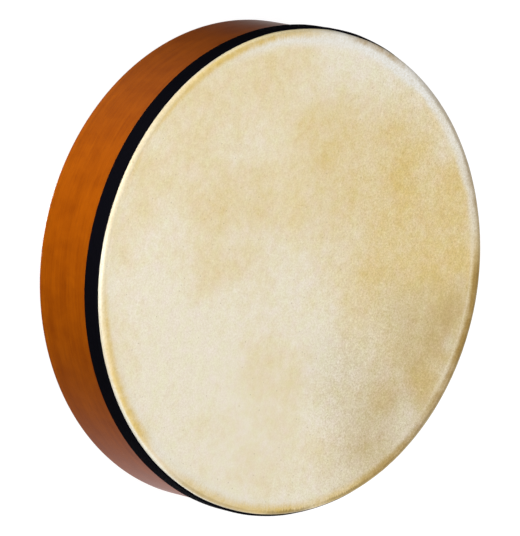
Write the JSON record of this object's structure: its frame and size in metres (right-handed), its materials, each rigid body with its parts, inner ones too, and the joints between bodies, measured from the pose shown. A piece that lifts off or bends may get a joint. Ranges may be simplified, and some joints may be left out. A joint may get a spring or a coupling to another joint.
{
  "type": "frame drum",
  "caption": "Shallow round hand drum: a bent laminated wooden hoop with a goatskin head stretched over one edge, its turned-down collar stapled and covered by a black tape band.",
  "frame": {"origin": "centre of the open rim's plane, on the drum's axis", "axes": "+Z along the drum's axis, from the open rim up to the skin; the pictured side faces -Y"},
  "size_m": [0.3092, 0.3092, 0.0645],
  "materials": {
    "lacquered_wood": "amber brown stain under satin lacquer",
    "raw_wood": "bare, sawn edges",
    "sealed_wood": "stained, thin matt sealer",
    "goatskin": "natural scraped rawhide, matt",
    "black_tape": "matt woven tape",
    "staple_steel": "galvanised wire"
  },
  "bodies": {
    "root": {"shell_outer_ply": "lacquered_wood", "shell_core_ply": "raw_wood", "shell_inner_ply": "sealed_wood", "goatskin_head": "goatskin", "trim_band": "black_tape", "staple_01": "staple_steel", "staple_02": "staple_steel", "staple_03": "staple_steel", "staple_04": "staple_steel", "staple_05": "staple_steel", "staple_06": "staple_steel", "staple_07": "staple_steel", "staple_08": "staple_steel", "staple_09": "staple_steel", "staple_10": "staple_steel", "staple_11": "staple_steel", "staple_12": "staple_steel", "staple_13": "staple_steel", "staple_14": "staple_steel", "staple_15": "staple_steel", "staple_16": "staple_steel", "staple_17": "staple_steel", "staple_18": "staple_steel", "staple_19": "staple_steel", "staple_20": "staple_steel", "staple_21": "staple_steel", "staple_22": "staple_steel", "staple_23": "staple_steel", "staple_24": "staple_steel"}
  },
  "joints": []
}
